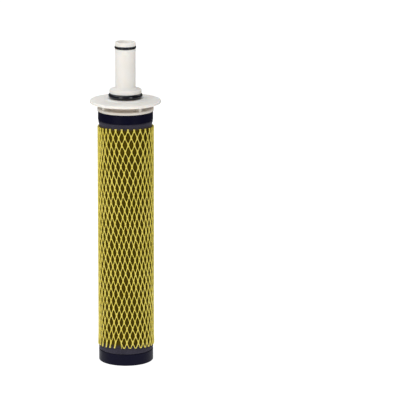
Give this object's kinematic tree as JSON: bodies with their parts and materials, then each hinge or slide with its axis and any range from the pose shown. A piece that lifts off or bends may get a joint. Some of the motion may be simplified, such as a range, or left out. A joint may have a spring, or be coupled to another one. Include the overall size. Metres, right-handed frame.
{
  "type": "inline water filter",
  "caption": "Replaceable water filter element: wrapped carbon block in a diamond net between moulded end caps, with a plug-in flanged head and an O-ring sealed hollow outlet stem.",
  "frame": {"origin": "centre of the lower end cap's underside, on the element's axis", "axes": "+Z along the element from the closed lower cap to the outlet tip; -Y is the front; two of the head's four ribs face the front left and front right"},
  "size_m": [0.0686, 0.0686, 0.3147],
  "materials": {
    "cap_plastic": "satin",
    "head_plastic": "satin",
    "net_plastic": "satin",
    "outer_fleece": "matte",
    "inner_fleece": "matte",
    "carbon": "matte",
    "core_plastic": "satin",
    "hot_melt": "satin",
    "seal_rubber": "satin"
  },
  "bodies": {
    "element": {"lower_end_cap": "cap_plastic", "lower_glue_ring": "hot_melt", "carbon_block": "carbon", "core_tube": "core_plastic", "core_fleece": "inner_fleece", "outer_wrap": "outer_fleece", "net_sleeve": "net_plastic", "upper_glue_ring": "hot_melt", "upper_end_cap": "cap_plastic"},
    "neck_seals": {"neck_seal_lower": "seal_rubber", "neck_seal_upper": "seal_rubber"},
    "head": {"neck_plate": "head_plastic", "stem_flange": "head_plastic", "collar_seal": "seal_rubber", "stem_seal": "seal_rubber"}
  },
  "joints": [
    {"name": "head_pull", "type": "slide", "parent": "element", "child": "neck_seals", "axis": [0, 0, 1], "range_m": [0, 0.022]},
    {"name": "head_turn", "type": "hinge", "parent": "neck_seals", "child": "head", "pos_m": [0, 0, 0.2355], "axis": [0, 0, 1], "continuous": true}
  ]
}
